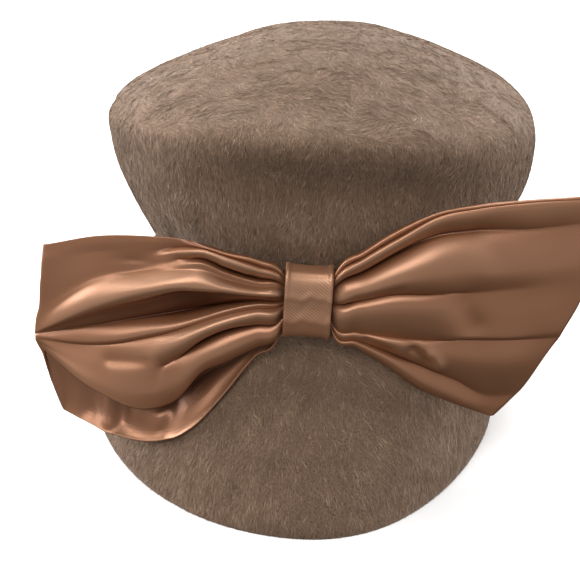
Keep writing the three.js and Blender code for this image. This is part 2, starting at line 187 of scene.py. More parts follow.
def napMaterial():
    # mohair hairs, whose tone is painted on each one
    material, nodes, links, shader = newMaterial("mohairNap")
    tone = addNode(nodes, "ShaderNodeAttribute", attribute_name="tone")
    ramp = addNode(nodes, "ShaderNodeValToRGB")
    ramp.color_ramp.elements[0].position = 0.0
    ramp.color_ramp.elements[0].color = feltLook["shadow"]
    ramp.color_ramp.elements[1].position = 1.0
    ramp.color_ramp.elements[1].color = feltLook["pale"]
    for position, key in ((0.38, "middle"), (0.70, "light")):
        step = ramp.color_ramp.elements.new(position)
        step.color = feltLook[key]
    links.new(tone.outputs["Fac"], ramp.inputs["Fac"])
    links.new(ramp.outputs["Color"], shader.inputs["Base Color"])
    shader.inputs["Roughness"].default_value = 0.75
    shader.inputs["Specular IOR Level"].default_value = 0.2
    shader.inputs["Sheen Weight"].default_value = feltLook["sheen"]
    shader.inputs["Sheen Roughness"].default_value = 0.5
    shader.inputs["Sheen Tint"].default_value = (1.0, 0.86, 0.74, 1)
    return material


# Satin colours: the first is painted shade deep in the folds, the middle one the plain satin, the last a
# painted highlight on the folds' crests
satinLook = {
    "hollow": (0.080, 0.022, 0.006, 1), "body": (0.280, 0.118, 0.054, 1), "paintedFoldLight": (0.385, 0.195, 0.108, 1),
    "roughness": 0.38, "metallic": 0.55, "gloss": 0.9, "stretch": 0.6, "twillTurn": 38, "twillShade": 0.10,
    "threads": 1350, "threadLift": 0.05 * mm, "knotThreads": 900, "knotLift": 0.12 * mm, "knotShade": 0.16,
    "twillWave": 0.4, "twillBump": 0.35, "patchScale": 38, "patchShare": 0.12, "hollowAt": 0.08,
    "bodyAt": 0.52,
}


def satinMaterial(name, threads, lift, shade):
    # heavy satin: a coloured gleam, painted shade in the folds' hollows and a painted highlight on their
    # crests, and a twill along the cloth's own map
    material, nodes, links, shader = newMaterial(name)
    cloth = addNode(nodes, "ShaderNodeUVMap", uv_map="cloth")
    turn = addNode(nodes, "ShaderNodeMapping")
    turn.inputs["Rotation"].default_value = (0, 0, math.radians(satinLook["twillTurn"]))
    links.new(cloth.outputs["UV"], turn.inputs["Vector"])
    twill = addNode(nodes, "ShaderNodeTexWave", wave_profile="SIN", Distortion=satinLook["twillWave"])
    twill.inputs["Scale"].default_value = threads * 2 * math.pi / 20        # its sine runs at 20 times Scale
    links.new(turn.outputs["Vector"], twill.inputs["Vector"])
    where = addNode(nodes, "ShaderNodeTexCoord")
    patches = addNode(nodes, "ShaderNodeTexNoise", Scale=satinLook["patchScale"], Detail=2)
    links.new(where.outputs["Object"], patches.inputs["Vector"])
    fold = addNode(nodes, "ShaderNodeAttribute", attribute_name="paintedFoldLight")
    uneven = addNode(nodes, "ShaderNodeMath", operation="MULTIPLY_ADD")
    uneven.inputs[1].default_value = satinLook["patchShare"]
    links.new(patches.outputs["Fac"], uneven.inputs[0])
    links.new(fold.outputs["Fac"], uneven.inputs[2])
    # painted shade in the hollows and a painted highlight on the crests, from each point's painted-light
    # value plus random patches
    ramp = addNode(nodes, "ShaderNodeValToRGB")
    ramp.color_ramp.elements[0].position = satinLook["hollowAt"]
    ramp.color_ramp.elements[0].color = satinLook["hollow"]
    ramp.color_ramp.elements[1].position = 1.0
    ramp.color_ramp.elements[1].color = satinLook["paintedFoldLight"]
    middle = ramp.color_ramp.elements.new(satinLook["bodyAt"])
    middle.color = satinLook["body"]
    links.new(uneven.outputs["Value"], ramp.inputs["Fac"])
    weave = addNode(nodes, "ShaderNodeMapRange")
    weave.inputs["To Min"].default_value = 1 - shade
    weave.inputs["To Max"].default_value = 1 + shade
    links.new(twill.outputs["Fac"], weave.inputs["Value"])
    woven = addNode(nodes, "ShaderNodeVectorMath", operation="SCALE")
    links.new(ramp.outputs["Color"], woven.inputs[0])
    links.new(weave.outputs["Result"], woven.inputs["Scale"])
    links.new(woven.outputs["Vector"], shader.inputs["Base Color"])
    bump = addNode(nodes, "ShaderNodeBump", Strength=satinLook["twillBump"], Distance=lift)
    links.new(twill.outputs["Fac"], bump.inputs["Height"])
    links.new(bump.outputs["Normal"], shader.inputs["Normal"])
    tangent = addNode(nodes, "ShaderNodeTangent", direction_type="UV_MAP", uv_map="cloth")
    links.new(tangent.outputs["Tangent"], shader.inputs["Tangent"])
    shader.inputs["Metallic"].default_value = satinLook["metallic"]
    shader.inputs["Roughness"].default_value = satinLook["roughness"]
    shader.inputs["Anisotropic"].default_value = satinLook["stretch"]
    shader.inputs["Specular IOR Level"].default_value = satinLook["gloss"]
    return material


feltGround = feltMaterial()
mohairNap = napMaterial()
bowSatin = satinMaterial("bowSatin", satinLook["threads"], satinLook["threadLift"], satinLook["twillShade"])
knotSatin = satinMaterial(
    "knotSatin", satinLook["knotThreads"], satinLook["knotLift"], satinLook["knotShade"])
print("materials made")


# Felt shells

feltShape = {
    "smoothing": 2, "rimCrease": 0.85, "softness": 0.45 * mm, "softWave": 34 * mm,
    # the join at the waist stays true, pressed a little thinner: middle, reach up and down, fade, press
    "waist": 82 * mm, "waistHalf": 15 * mm, "waistFade": 12 * mm, "waistPress": 0.2 * mm,
    # dents of the crown's wall: azimuth, height, spread round in degrees, spread up, depth
    "crown": [(277, 133 * mm, 23, 10 * mm, 6.5 * mm), (226, 99 * mm, 3.5, 9 * mm, 1.5 * mm)], "brim": [],
}


def feltShell(node, name, seed):
    # a smooth copy of a felt solid, with the small unevenness of blocked felt
    piece = bpy.data.objects.new(name, frame["nodes"][node].data.copy())
    bpy.context.scene.collection.objects.link(piece)
    makeActive(piece)
    bpy.ops.object.mode_set(mode="EDIT")
    bpy.ops.mesh.select_all(action="SELECT")
    bpy.ops.mesh.remove_doubles(threshold=0.00002)
    bpy.ops.mesh.tris_convert_to_quads(face_threshold=math.radians(60), shape_threshold=math.radians(60))
    bpy.ops.object.mode_set(mode="OBJECT")
    creaseRims(piece)
    smooth = piece.modifiers.new("smooth", "SUBSURF")
    smooth.levels = smooth.render_levels = feltShape["smoothing"]
    applyAll(piece)
    mesh = piece.data
    points = vertexPoints(mesh)
    normals = vertexNormals(mesh)
    fromWaist = np.abs(points[:, 2] - feltShape["waist"])
    free = np.clip((fromWaist - feltShape["waistHalf"]) / feltShape["waistFade"], 0, 1)
    push = feltShape["softness"] * free * softNoise(points, feltShape["softWave"], seed)
    push -= feltShape["waistPress"] * (1 - free)
    azimuth = np.degrees(np.arctan2(points[:, 1] - axisY, points[:, 0] - axisX)) % 360
    outside = normals[:, 0] * (points[:, 0] - axisX) + normals[:, 1] * (points[:, 1] - axisY) > 0
    for middle, height, wide, tall, depth in feltShape[node]:
        far = ((azimuth - middle) / wide) ** 2 + ((points[:, 2] - height) / tall) ** 2
        push -= depth * np.exp(-far / 2) * np.where(outside, 1, -1)
    rim = np.clip(points[:, 2] / (6 * mm), 0, 1)        # the resting edge keeps its height
    setPoints(mesh, points + normals * (push * rim)[:, None])
    flat = np.clip((vertexNormals(mesh)[:, 2] - 0.6) / 0.3, 0, 1)
    mesh.attributes.new("flat", "FLOAT", "POINT").data.foreach_set("value", flat.astype(np.float32))
    piece.data.materials.clear()
    piece.data.materials.append(feltGround)
    bpy.ops.object.shade_smooth()
    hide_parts(node)
    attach(piece, "root")
    return piece


def vertexPoints(mesh):
    points = np.empty(len(mesh.vertices) * 3)
    mesh.vertices.foreach_get("co", points)
    return points.reshape(-1, 3)


def vertexNormals(mesh):
    normals = np.empty(len(mesh.vertices) * 3)
    mesh.vertices.foreach_get("normal", normals)
    return normals.reshape(-1, 3)


def setPoints(mesh, points):
    mesh.vertices.foreach_set("co", points.astype(np.float32).ravel())
    mesh.update()


def creaseRims(piece):
    # keeps the cut edges of the felt square while the rest is smoothed
    shape = bmesh.new()
    shape.from_mesh(piece.data)
    layer = shape.edges.layers.float.get("crease_edge") or shape.edges.layers.float.new("crease_edge")
    for edge in shape.edges:
        if len(edge.link_faces) == 2 and edge.calc_face_angle(0) > math.radians(55):
            edge[layer] = feltShape["rimCrease"]
    shape.to_mesh(piece.data)
    shape.free()


crownFelt = feltShell("crown", "crown_felt", seed=3)
brimFelt = feltShell("brim", "brim_felt", seed=4)
print("felt shells made", len(crownFelt.data.polygons), len(brimFelt.data.polygons))


# Mohair nap

nap = {
    "length": (3.0 * mm, 6.0 * mm), "width": (0.13 * mm, 0.26 * mm), "lift": (0.10 * mm, 0.55 * mm),
    "sunk": 0.2 * mm, "wallTurn": 0.42, "topTurn": 1.2, "sway": 0.22, "clump": 3.4 * mm,
    "topWay": (0.75, -0.65, 0.0), "tone": 0.52, "toneSpread": 0.11, "paleShare": 0.05, "paleLift": 0.3,
}


def outerFaces(piece, middle):
    # triangles of a shell's outer side: corner points, corner normals and areas
    mesh = piece.data
    mesh.calc_loop_triangles()
    corners = np.empty(len(mesh.loop_triangles) * 3, int)
    mesh.loop_triangles.foreach_get("vertices", corners)
    corners = corners.reshape(-1, 3)
    points = vertexPoints(mesh)[corners]
    normals = vertexNormals(mesh)[corners]
    across = np.cross(points[:, 1] - points[:, 0], points[:, 2] - points[:, 0])
    outward = np.einsum("ij,ij->i", across, points.mean(1) - middle) > 0
    return points[outward], normals[outward], np.linalg.norm(across[outward], axis=1) / 2


def napFlow(points, normals, seed):
    # the way the nap was brushed: down the walls, round in soft swirls on top
    down = np.array([0, 0, -1.0]) + normals * normals[:, 2:3]
    flat = np.clip((normals[:, 2] - 0.55) / 0.35, 0, 1)[:, None]
    topWay = np.array(nap["topWay"])
    sideways = topWay - normals * (normals @ topWay)[:, None]
    way = unit(unit(down) * (1 - flat) + unit(sideways) * flat)
    turn = nap["wallTurn"] * (1 - flat[:, 0]) + nap["topTurn"] * flat[:, 0]
    angle = turn * (0.75 * softNoise(points, 38 * mm, seed) + 0.45 * softNoise(points, 9 * mm, seed + 1))
    side = np.cross(normals, way)
    return unit(way * np.cos(angle)[:, None] + side * np.sin(angle)[:, None])


def napPiece(shell, middle, name, count, seed):
    # joined mesh of fine hairs that lie on a shell, each a blade of a quad and a tip
    rng = np.random.default_rng(seed)
    faces, faceNormals, areas = outerFaces(shell, middle)
    tree = BVHTree.FromObject(shell, bpy.context.evaluated_depsgraph_get())
    pick = rng.choice(len(areas), count, p=areas / areas.sum())
    share = rng.dirichlet((1, 1, 1), count)
    root = np.einsum("ij,ijk->ik", share, faces[pick])
    normal = unit(np.einsum("ij,ijk->ik", share, faceNormals[pick]))
    length = rng.uniform(*nap["length"], count)
    width = rng.uniform(*nap["width"], count)
    lift = rng.uniform(*nap["lift"], count)
    sway = rng.normal(0, nap["sway"], count)
    tilt = rng.normal(0, 0.5, count)
    spine, normals, ways = [root], [normal], []
    for step in range(2):        # each hair's middle and tip are set back on the felt
        way = napFlow(spine[-1], normals[-1], 70)
        side = np.cross(normals[-1], way)
        way = unit(way + side * (sway * (0.6 + 0.8 * step))[:, None])
        ahead = spine[-1] + way * (length / 2)[:, None]
        found = [tree.find_nearest(Vector(p))[:2] for p in ahead]
        near = np.array([hit[1] for hit in found])
        keep = np.einsum("ij,ij->i", near, normals[-1]) > 0.2
        spine.append(np.array([hit[0] for hit in found]))
        normals.append(np.where(keep[:, None], near, normals[-1]))
        ways.append(way)
    ways.append(ways[-1])
    rises = (-nap["sunk"] * np.ones(count), lift, lift * 0.8)
    rows = []
    for step in range(3):
        side = unit(np.cross(normals[step], ways[step]))
        across = unit(side + normals[step] * tilt[:, None]) * (width * (0.7, 1.0, 0)[step] / 2)[:, None]
        place = spine[step] + normals[step] * rises[step][:, None]
        rows.append((place - across, place + across))
    points = np.stack([rows[0][0], rows[0][1], rows[1][0], rows[1][1], rows[2][0]], 1).reshape(-1, 3)
    start = np.arange(count)[:, None] * 5
    quads = (start + np.array([0, 1, 3, 2])).tolist()
    tips = (start + np.array([2, 3, 4])).tolist()
    mesh = bpy.data.meshes.new(name)
    mesh.from_pydata(points.tolist(), [], quads + tips)
    patch = 0.07 * softNoise(root, 17 * mm, 5) + 0.07 * softNoise(root, nap["clump"], 6)
    tone = np.clip(nap["tone"] + patch + rng.normal(0, nap["toneSpread"], count), 0.02, 0.98)
    pale = rng.random(count) < nap["paleShare"]
    tone = np.where(pale, np.clip(tone + nap["paleLift"], 0, 1), tone)
    # each hair is painted darker towards its root, painted shade where it meets the felt, and a little
    # lighter at its tip
    tone = np.stack([tone * 0.75, tone * 0.75, tone, tone, np.clip(tone * 1.08, 0, 1)], 1).ravel()
    mesh.attributes.new("tone", "FLOAT", "POINT").data.foreach_set("value", tone.astype(np.float32))
    piece = bpy.data.objects.new(name, mesh)
    bpy.context.scene.collection.objects.link(piece)
    mesh.materials.append(mohairNap)
    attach(piece, "root")
    return piece


crownMiddle = np.array([axisX, axisY, 100 * grade * mm])
brimMiddle = np.array([axisX, axisY, 60 * grade * mm])
napHairs = {"crown": 46000, "brim": 50000}
for index in range(3):
    napPiece(crownFelt, crownMiddle, f"crown_nap_{index + 1}", napHairs["crown"], 20 + index)
for index in range(2):
    napPiece(brimFelt, brimMiddle, f"brim_nap_{index + 1}", napHairs["brim"], 30 + index)
print("nap made")


# Satin sheets

def clothGrid(name, grid, material):
    # a grid primitive whose points are moved to their places, with a map in metres along the cloth
    along, across = grid.shape[:2]
    deselectAll()
    bpy.ops.mesh.primitive_grid_add(
        x_subdivisions=across - 1, y_subdivisions=along - 1, size=1, location=(0, 0, 0))
    piece = bpy.context.active_object
    piece.name = name
    mesh = piece.data
    setPoints(mesh, grid.reshape(-1, 3))
    stepsAlong = np.linalg.norm(np.diff(grid, axis=0), axis=2).mean(1)
    stepsAcross = np.linalg.norm(np.diff(grid, axis=1), axis=2).mean(0)
    u = np.concatenate([[0], np.cumsum(stepsAlong)])
    v = np.concatenate([[0], np.cumsum(stepsAcross)])
    spots = np.stack(np.meshgrid(u, v, indexing="ij"), -1).reshape(-1, 2)
    corners = np.empty(len(mesh.loops), int)
    mesh.loops.foreach_get("vertex_index", corners)
    while mesh.uv_layers:
        mesh.uv_layers.remove(mesh.uv_layers[0])
    layer = mesh.uv_layers.new(name="cloth")
    layer.data.foreach_set("uv", spots[corners].astype(np.float32).ravel())
    mesh.materials.append(material)
    return piece


def setPaintedLight(piece, values):
    # painted light for the satin's colour, set on each point: 0 is painted shade deep in a fold, 1 a painted
    # highlight on its crest
    shades = piece.data.attributes.new("paintedFoldLight", "FLOAT", "POINT")
    shades.data.foreach_set("value", np.clip(values, 0, 1).astype(np.float32).ravel())


def paintedLightFromFolds(grid, spread, depth):
    # how far each point stands out from the cloth around it, used as painted light: painted shade in the
    # hollows, a painted highlight on the crests
    height, lift = grid[..., 1], grid[..., 2]
    near = np.exp(-((height[:, :, None] - height[:, None, :]) / spread) ** 2)
    around = (near * lift[:, None, :]).sum(2) / near.sum(2)
    return 0.5 + 0.5 * (lift - around) / depth


def thicken(piece, thickness):
    wall = piece.modifiers.new("wall", "SOLIDIFY")
    wall.thickness = thickness
    wall.offset = 0
    wall.use_even_offset = False
    applyAll(piece)
    bpy.ops.object.shade_smooth()


# Fold lines of the loops, in half millimetres at pattern size, from the top edge down. Each row has its
# name, its kind, how sharp it is, its heights above the knot's middle and its lifts forward of the bow's
# base at the loop's stations, and the reach, height and lift where it ends. The stations are reaches from
# the knot, and the last one lies half way from there to the end.
# A mark is a small fold or dent: reach and height where it starts and ends, its width and how far it lifts.
rightLoop = {
    "name": "bow_loop_right", "node": "bow_right_loop", "side": 1, "stations": [11, 20, 33, 47, 62],
    "front": [
        ("top edge", "edge", 0.2, [16, 24, 33.5, 40.5, 44, 46.5], [2, 2.5, 2.5, 2.5, 2, 2], [106, 48, 1]),
        ("outer roll", "ridge", 0, [16.5, 24.5, 34, 41, 44, 46.5], [5, 6, 5.5, 4, 3.5, 3], [106, 47.5, 1.5]),
        ("roll gap", "valley", 1, [14, 22, 31, 39.5, 43, 46], [3, 3.5, 3.5, 3, 3, 2.5], [106, 47, 1.5]),
        ("inner roll", "ridge", 0, [14, 22, 31, 39.5, 43, 45.5], [6.5, 8, 7.5, 5.5, 4.5, 4], [106, 46.5, 2]),
        ("dark gap", "valley", 0.8, [10, 15.5, 24, 31.5, 34, 35], [2.5, 2.5, 2, 2, 2, 2.5], [107.5, 37, 1]),
        ("upper belly", "ridge", 0, [4.5, 8.5, 14.5, 18, 19.5, 19], [6, 8.5, 10, 10.5, 9, 6.5],
         [108.5, 21, 3.5]),
        ("middle crease", "valley", 0.9, [1.5, 4.5, 8.5, 9.5, 10, 11.5], [3, 4.5, 7, 8, 7, 6],
         [108, 12.5, 3.5]),
        ("middle belly", "ridge", 0, [-1.5, 1, 3.5, 4, 1.5, 0], [6, 8, 10, 10.5, 8, 6.5], [107, 3, 3.5]),
        ("crease lip", "ridge", 0, [-6.5, -7.5, -8, -8.5, -8.5, -9], [5, 6, 7.5, 8.5, 8, 7], [102.5, -8, 4]),
        ("lower crease", "valley", 1, [-8.5, -10, -10.5, -11, -11, -11], [3, 4, 5.5, 6.5, 6.5, 6],
         [101.5, -11.5, 3.5]),
        ("lower belly", "ridge", 0, [-9.5, -11, -12.5, -14.5, -18.5, -20], [4, 5.5, 8, 9, 7.5, 7],
         [96.5, -20, 4]),
        ("bottom valley", "valley", 0.8, [-11.5, -14, -18.5, -24, -31, -38], [3, 3.5, 3.5, 4, 3.5, 3.5],
         [88, -38.5, 2.5]),
        ("bottom roll", "ridge", 0, [-12, -14.5, -20.5, -30, -37.5, -42.5], [4, 5.5, 6.5, 6, 5, 4],
         [82, -45, 3]),
        ("bottom edge", "edge", 0.2, [-13.5, -17.5, -25.5, -35, -41.5, -45], [2, 3, 3, 3.5, 4, 3.5],
         [79, -48.5, 3]),
    ],
    "back": [
        ("back top", "soft", 0, [14, 21.5, 30.5, 38, 41.5, 44.5], [-2, -2, -2, -2, -2, -2], [106, 46.5, -1]),
        ("back upper", "soft", 0, [6, 11.5, 19, 24, 27.5, 28.5], [-2, -2, -2, -2, -2, -2], [108.5, 29, -1]),
        ("back middle", "soft", 0, [-2.5, -1.5, 0, 1.5, 3, 5], [-2, -2, -2, -2, -2, -2], [108, 5.5, -1]),
        ("back lower", "soft", 0, [-9.5, -12.5, -16, -20, -22, -23.5], [-2, -2, -2, -2, -1.5, -1],
         [95.5, -25, -1]),
        ("back rim", "soft", 0, [-15, -19, -27, -36.5, -43.5, -46.5], [-2, -1.5, -0.5, 0, 0, 0],
         [79.5, -50, -0.5]),
    ],
    "frontMarks": [
        {"from": (50, -17), "to": (54, -23), "width": 2.2, "lift": 1.6},
        {"from": (43, -15), "to": (49, -20), "width": 2.4, "lift": -1.8},
        {"from": (24, -12.5), "to": (34, -16), "width": 1.6, "lift": -1.2},
        {"from": (60, 5), "to": (66, -4), "width": 4.6, "lift": -0.9},
        {"from": (63, 33), "to": (72, 26), "width": 4.2, "lift": -0.6},
        {"from": (17, 6), "to": (36, 12), "width": 1.1, "lift": -0.5},
    ],
    "backMarks": [],
}
leftLoop = {
    "name": "bow_loop_left", "node": "bow_left_loop", "side": -1, "stations": [11, 20, 33, 42, 50, 62],
    "front": [
        ("top edge", "edge", 0.2, [13.5, 17.5, 20, 22, 23.5, 23.5, 21.5], [2, 2.5, 2.5, 2, 2, 2, 2],
         [105, 15, 1.5]),
        ("outer roll", "ridge", 0, [13.5, 18, 20, 21.5, 22, 21, 18.5], [4, 5, 4.5, 3.5, 2.5, 2.5, 2.5],
         [105.5, 12, 2]),
        ("roll gap", "valley", 1, [12, 15.5, 18.5, 20.5, 20.5, 18, 15.5], [2.5, 3, 3, 3, 2.5, 2.5, 2.5],
         [106, 8.5, 2.5]),
        ("rolled rim", "ridge", 0, [11.5, 15.5, 20, 22, 20, 15, 12.5], [5, 7, 8.5, 8, 6, 3, 3],
         [106.5, 4.5, 2.5]),
        ("dark pocket", "valley", 0.7, [8.5, 10, 13.5, 17, 16.5, 12.5, 9], [2, 1, 1, 3, 5, 3.5, 3.5],
         [107.5, -2, 2.5]),
        ("pocket ridge", "ridge", 0, [8, 9, 12.5, 16, 14.5, 10.5, 4.5], [4, 5, 6, 7, 6.5, 4.5, 4],
         [108.5, -11, 2.5]),
        ("panel foot", "soft", 0, [7, 7.5, 10.5, 14, 13, 9.5, 1.5], [4, 5, 6, 7, 7, 6, 5], [110.5, -18, 2.5]),
        ("main belly", "ridge", 0, [5, 5.5, 7, 7.5, 7.5, 4.5, -7], [6, 8, 10, 11, 11.5, 11, 9],
         [111.5, -24.5, 2.5]),
        ("under shelf", "soft", 0, [3, 3, 3.5, 3, 2, -2.5, -12], [4, 4.5, 4.5, 4, 4, 4.5, 5.5],
         [111.5, -25, 2.5]),
        ("deep valley", "valley", 0.8, [0.5, 0, -2.5, -5, -7.5, -10.5, -17.5], [2.5, 2, 1.5, 1, 1, 2, 3.5],
         [111.5, -25.5, 2.5]),
        ("fine ridge", "ridge", 0, [0, 0, -3.5, -7.5, -11, -15.5, -23], [4, 6, 7.5, 8, 8.5, 8.5, 7],
         [111.5, -26.5, 3]),
        ("fine valley", "valley", 1, [-1.5, -2, -5.5, -9, -12.5, -17.5, -25], [3.5, 5, 7, 7.5, 7.5, 7.5, 6.5],
         [111.5, -27.5, 3]),
        ("tube", "ridge", 0, [-3, -4, -8, -12, -17, -24, -30.5], [5.5, 7.5, 9.5, 11, 12, 11.5, 9.5],
         [110.5, -28.5, 3]),
        ("lower valley", "valley", 0.8, [-8, -10, -13.5, -18.5, -24.5, -31, -34],
         [2.5, 2.5, 2.5, 4, 8, 12.5, 11],
         [109.5, -29.5, 3]),
        ("bottom fold", "ridge", 0, [-11.5, -15, -21, -27, -35, -40, -38], [4.5, 6, 8.5, 10, 12, 14.5, 12.5],
         [109, -30.5, 3]),
        ("bottom edge", "edge", 0.2, [-15, -20, -26.5, -31.5, -42, -47, -41.5],
         [2.5, 4, 6.5, 8.5, 11, 14.5, 13],
         [108, -32.5, 3]),
    ],
    "back": [
        ("back top", "soft", 0, [11, 15, 17.5, 19.5, 20.5, 21, 19], [-2, -2, -2, -2, -2, -2, -2],
         [105, 13, -1]),
        ("back upper", "soft", 0, [4, 4, 4.5, 4.5, 4.5, 3.5, -0.5], [-2, -2, -2, -2, -2, -2, -2],
         [107, -7.5, -1]),
        ("back middle", "soft", 0, [-6.5, -9.5, -13, -16, -18, -21, -25.5], [-2, -2, -2, -2, -1.5, -1, -1],
         [107, -27.5, -1]),
        ("back lower", "soft", 0, [-14, -19.5, -29, -36, -42.5, -47, -45], [-2, -2, -1, -0.5, 1, 1.5, 1],
         [101, -39, 0]),
        ("back shelf", "soft", 0, [-16, -23, -36.5, -45.5, -52, -57, -56.5], [-2, -1, 3.5, 7, 8, 6.5, 4],
         [101, -49.5, 1]),
        ("back rim", "edge", 0.2, [-17, -25.5, -42, -52.5, -59.5, -64.5, -64],
         [-0.5, 1.5, 9, 13, 13.5, 12, 9.5],
         [101, -60.5, 2.5]),
    ],
    "frontMarks": [
        {"from": (17, 3.5), "to": (34, 4), "width": 1.3, "lift": -0.9},
        {"from": (24, 13.5), "to": (34, 17), "width": 1.2, "lift": 0.7},
        {"from": (64, -27), "to": (78, -29), "width": 2.6, "lift": -1.1},
    ],
    "backMarks": [
        {"from": (80.5, -44), "to": (80.5, -60), "width": 3.2, "lift": 2.6},
        {"from": (88, -42), "to": (88, -58), "width": 4.0, "lift": -1.4},
        {"from": (73.5, -46), "to": (74.5, -60), "width": 3.4, "lift": -1.4},
        {"from": (60, -54), "to": (67, -53), "width": 5.0, "lift": 2.4},
        {"from": (51, -50), "to": (56, -60), "width": 3.0, "lift": -1.2},
    ],
}
satin = {
    "thickness": 0.9 * mm, "gatherReaches": [1.5, 9.4], "gatherHalf": 12.1, "frontGather": (1, 0.45),
    "backGather": (-2.2, 0), "endBulge": 1.5, "step": 1.25, "across": 8, "backAcross": 6, "turnSteps": 8,
    "crinkle": 0.13, "crinkleWave": 22, "crinkleFrom": 9, "crinkleFade": 14,
    "paintedLightSpread": 7.5, "paintedLightDepth": 3.2, "backPaintedShade": 0.65,
}


def alongFold(reaches, values, at):
    # smooth curve through unevenly spaced stations
    slopes = np.gradient(values, reaches)
    index = np.clip(np.searchsorted(reaches, at, side="right") - 1, 0, len(reaches) - 2)
    width = reaches[index + 1] - reaches[index]
    t = (at - reaches[index]) / width
    start = (2 * t ** 3 - 3 * t ** 2 + 1) * values[index] + (t ** 3 - 2 * t ** 2 + t) * width * slopes[index]
    end = (3 * t ** 2 - 2 * t ** 3) * values[index + 1] + (t ** 3 - t ** 2) * width * slopes[index + 1]
    return start + end


def layerLines(rows, stations, gather):
    # each fold line as reach, height and lift at every step from the knot to the loop's end
    tallest = max(abs(row[3][0]) for row in rows)
    last = stations[-1]
    steps = []
    middle = satin["gatherReaches"] + stations + [last + (rows[len(rows) // 2][5][0] - last) / 2]
    middle.append(rows[len(rows) // 2][5][0])
    for index in range(len(middle) - 1):
        count = max(2, round((middle[index + 1] - middle[index]) / satin["step"]))
        steps += [index + share / count for share in range(count)]
    steps = np.array(steps + [len(middle) - 1.0])
    lines = []
    for _, _, _, heights, lifts, end in rows:
        height = heights[0] / tallest * satin["gatherHalf"]
        lift = gather[0] + lifts[0] * gather[1]
        reaches = np.array(satin["gatherReaches"] + stations + [(last + end[0]) / 2, end[0]], float)
        at = np.interp(steps, np.arange(len(reaches)), reaches)
        allHeights = np.array([height, height] + heights + [end[1]], float)
        allLifts = np.array([lift, lift] + lifts + [end[2]], float)
        lines.append(np.stack([at, alongFold(reaches, allHeights, at), alongFold(reaches, allLifts, at)], -1))
    return np.array(lines)


def foldTangents(rows, lines):
    # the cloth's way just before and after each fold line: level over a crest, steep out of a valley
    steps = np.diff(lines, axis=0)
    before, after = [], []
    for index, row in enumerate(rows):
        if index in (0, len(rows) - 1):
            step = steps[0] if index == 0 else steps[-1]
            way = step * np.array([1, 0.6, 1.2])
            before.append(way)
            after.append(way)
            continue
        last, following = steps[index - 1], steps[index]
        same = last * following > 0
        even = np.where(same, 2 * last * following / np.where(same, last + following, 1), 0)
        even[:, 0] = (last[:, 0] + following[:, 0]) / 2
        if row[1] == "valley":
            depth = np.minimum(-last[:, 2], following[:, 2])
            steep = np.array([1, 0.2, 1.6])
            shares = row[2] * np.clip(depth / 1.5, 0, 1)
        else:
            depth = np.minimum(last[:, 2], -following[:, 2])
            steep = np.array([1, 1.5, 0])
            shares = np.clip(depth / 1.5, 0, 1) * (row[1] == "ridge")
        shares = shares[:, None]
        before.append(even + (last * steep - even) * shares)
        after.append(even + (following * steep - even) * shares)
    return np.array(before), np.array(after)


def loopLayer(rows, stations, gather, across):
    lines = layerLines(rows, stations, gather)
    before, after = foldTangents(rows, lines)
    columns = []
    for index in range(len(rows) - 1):
        steps = np.arange(across) / across
        if index == len(rows) - 2:
            steps = np.append(steps, 1.0)
        for t in steps:
            first = (2 * t ** 3 - 3 * t ** 2 + 1) * lines[index] + (t ** 3 - 2 * t ** 2 + t) * after[index]
            second = (3 * t ** 2 - 2 * t ** 3) * lines[index + 1] + (t ** 3 - t ** 2) * before[index + 1]
            columns.append(first + second)
    return np.array(columns).transpose(1, 0, 2)


def addMarks(layer, marks):
    # small folds that begin and end within a layer
    for mark in marks:
        start, end = np.array(mark["from"], float), np.array(mark["to"], float)
        way = end - start
        share = ((layer[..., :2] - start) @ way) / (way @ way)
        near = start + np.clip(share, 0, 1)[..., None] * way
        far = np.linalg.norm(layer[..., :2] - near, axis=-1) / mark["width"]
        layer[..., 2] += mark["lift"] * np.exp(-far ** 2)


